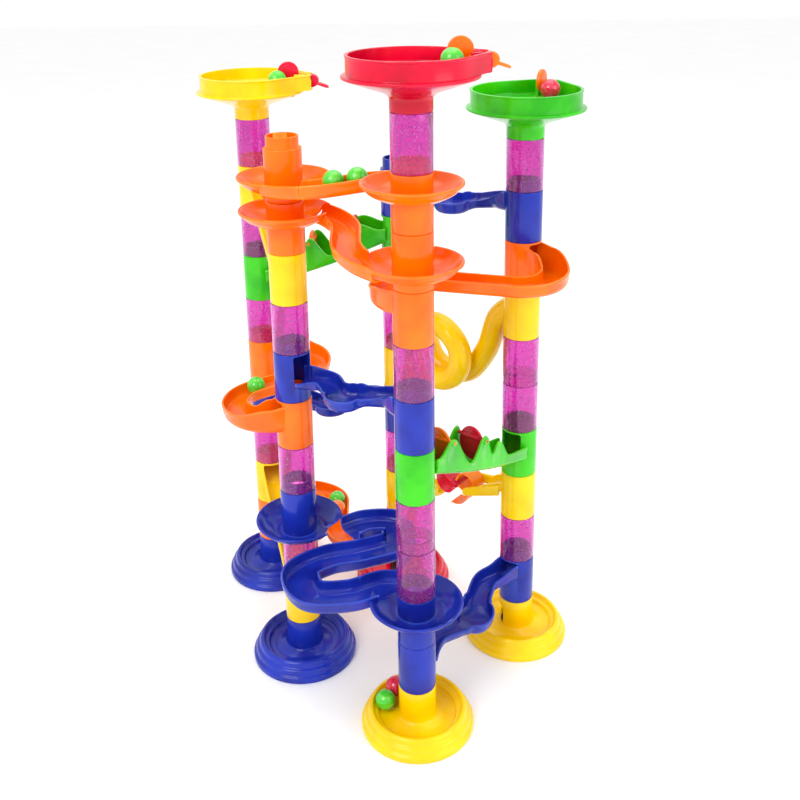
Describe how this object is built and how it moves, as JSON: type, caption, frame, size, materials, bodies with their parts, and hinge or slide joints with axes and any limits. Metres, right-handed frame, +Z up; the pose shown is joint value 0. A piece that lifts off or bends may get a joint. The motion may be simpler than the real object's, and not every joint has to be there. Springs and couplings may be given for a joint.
{
  "type": "marble run",
  "caption": "Tall toy marble run: towers of stacked tube sections on round catching bases, joined by slides, hairpin, dish and zigzag tracks, flaps, a wheel and a loop, with gated funnels.",
  "frame": {"origin": "on the floor, under the middle of the whole run's box", "axes": "+Z up the towers, +X to the viewer's right, -Y towards the viewer"},
  "size_m": [0.325, 0.31, 0.5488],
  "materials": {
    "orange": "glossy moulded plastic",
    "yellow": "glossy moulded plastic",
    "blue": "glossy moulded plastic",
    "green": "glossy moulded plastic",
    "red": "glossy moulded plastic",
    "pink": "clear tinted plastic with glitter"
  },
  "bodies": {
    "frame": {"base_a": "blue", "base_b": "blue", "base_c": "yellow", "base_d": "red", "base_e": "yellow", "clear_tube_a10": "pink", "clear_tube_a3": "pink", "clear_tube_a6": "pink", "clear_tube_a8": "pink", "clear_tube_b2": "pink", "clear_tube_b4": "pink", "clear_tube_b7": "pink", "clear_tube_c11": "pink", "clear_tube_c3": "pink", "clear_tube_c4": "pink", "clear_tube_c7": "pink", "clear_tube_d3": "pink", "clear_tube_d6": "pink", "clear_tube_d7": "pink", "clear_tube_e10": "pink", "clear_tube_e2": "pink", "clear_tube_e5": "pink", "clear_tube_e6": "pink", "dish_track_b9_c9": "orange", "dish_track_c10_b10": "orange", "flap_track_c5_e4": "green", "flap_track_d8_a7": "green", "funnel_a": "yellow", "funnel_c": "red", "funnel_e": "green", "hairpin_track_a5_b5": "orange", "hairpin_track_c8_e8": "orange", "hairpin_track_d1_a1": "orange", "loop_tube_e7_d5": "yellow", "pocket_track_c6_b6": "blue", "pocket_track_d4_a4": "blue", "pocket_track_e1_c1": "blue", "pocket_track_e9_d9": "blue", "slide_a2_b1": "yellow", "slide_a9_b8": "yellow", "wheel_track_e3_d2": "yellow", "zigzag_track_b3_c2": "blue"},
    "flap_a_lower": {"flap_a_lower": "orange"},
    "flap_a_upper": {"flap_a_upper": "red"},
    "flap_e_lower": {"flap_e_lower": "red"},
    "flap_e_upper": {"flap_e_upper": "orange"},
    "gate_lever_a": {"gate_lever_a": "red"},
    "gate_lever_c": {"gate_lever_c": "orange"},
    "gate_lever_e": {"gate_lever_e": "orange"},
    "marble_a5": {"marble_a5": "green"},
    "marble_base_left": {"marble_base_left": "green"},
    "marble_base_right": {"marble_base_right": "red"},
    "marble_c10_far": {"marble_c10_far": "green"},
    "marble_c10_near": {"marble_c10_near": "green"},
    "marble_d1_left": {"marble_d1_left": "orange"},
    "marble_d1_right": {"marble_d1_right": "green"},
    "marble_gate_a": {"marble_gate_a": "green"},
    "marble_gate_c": {"marble_gate_c": "green"},
    "marble_gate_e": {"marble_gate_e": "red"},
    "scoop_wheel": {"scoop_wheel": "red"}
  },
  "joints": [
    {"name": "gate_lever_c_hinge", "type": "hinge", "parent": "frame", "child": "gate_lever_c", "pos_m": [0.07274, -0.09832, 0.5316], "axis": [-0.1736, 0.9848, 0], "range_deg": [0, 25]},
    {"name": "gate_lever_e_hinge", "type": "hinge", "parent": "frame", "child": "gate_lever_e", "pos_m": [0.13847, 0.04835, 0.4896], "axis": [-0.8829, 0.4695, 0], "range_deg": [0, 25]},
    {"name": "gate_lever_a_hinge", "type": "hinge", "parent": "frame", "child": "gate_lever_a", "pos_m": [-0.06507, 0.10438, 0.4896], "axis": [0.0523, 0.9986, 0], "range_deg": [0, 25]},
    {"name": "flap_a_upper_hinge", "type": "hinge", "parent": "frame", "child": "flap_a_upper", "pos_m": [-0.0254, 0.09195, 0.36256], "axis": [-0.1656, -0.9862, 0], "range_deg": [-60, 30]},
    {"name": "flap_a_lower_hinge", "type": "hinge", "parent": "frame", "child": "flap_a_lower", "pos_m": [-0.06508, 0.09861, 0.34623], "axis": [-0.1656, -0.9862, 0], "range_deg": [-60, 30]},
    {"name": "flap_e_upper_hinge", "type": "hinge", "parent": "frame", "child": "flap_e_upper", "pos_m": [0.04272, -0.08365, 0.24194], "axis": [-0.7722, 0.6354, 0], "range_deg": [-60, 30]},
    {"name": "flap_e_lower_hinge", "type": "hinge", "parent": "frame", "child": "flap_e_lower", "pos_m": [0.07017, -0.05029, 0.22509], "axis": [-0.7722, 0.6354, 0], "range_deg": [-60, 30]},
    {"name": "scoop_wheel_axle", "type": "hinge", "parent": "frame", "child": "scoop_wheel", "pos_m": [0.06652, 0.04284, 0.131], "axis": [-0.6233, -0.782, 0], "continuous": true},
    {"name": "marble_a5_lift", "type": "slide", "parent": "frame", "child": "marble_a5", "axis": [0, 0, 1], "range_m": [0, 0.03]},
    {"name": "marble_base_left_lift", "type": "slide", "parent": "frame", "child": "marble_base_left", "axis": [0, 0, 1], "range_m": [0, 0.03]},
    {"name": "marble_base_right_lift", "type": "slide", "parent": "frame", "child": "marble_base_right", "axis": [0, 0, 1], "range_m": [0, 0.03]},
    {"name": "marble_c10_far_lift", "type": "slide", "parent": "frame", "child": "marble_c10_far", "axis": [0, 0, 1], "range_m": [0, 0.03]},
    {"name": "marble_c10_near_lift", "type": "slide", "parent": "frame", "child": "marble_c10_near", "axis": [0, 0, 1], "range_m": [0, 0.03]},
    {"name": "marble_d1_left_lift", "type": "slide", "parent": "frame", "child": "marble_d1_left", "axis": [0, 0, 1], "range_m": [0, 0.03]},
    {"name": "marble_d1_right_lift", "type": "slide", "parent": "frame", "child": "marble_d1_right", "axis": [0, 0, 1], "range_m": [0, 0.03]},
    {"name": "marble_gate_a_lift", "type": "slide", "parent": "frame", "child": "marble_gate_a", "axis": [0, 0, 1], "range_m": [0, 0.03]},
    {"name": "marble_gate_c_lift", "type": "slide", "parent": "frame", "child": "marble_gate_c", "axis": [0, 0, 1], "range_m": [0, 0.03]},
    {"name": "marble_gate_e_lift", "type": "slide", "parent": "frame", "child": "marble_gate_e", "axis": [0, 0, 1], "range_m": [0, 0.03]}
  ]
}
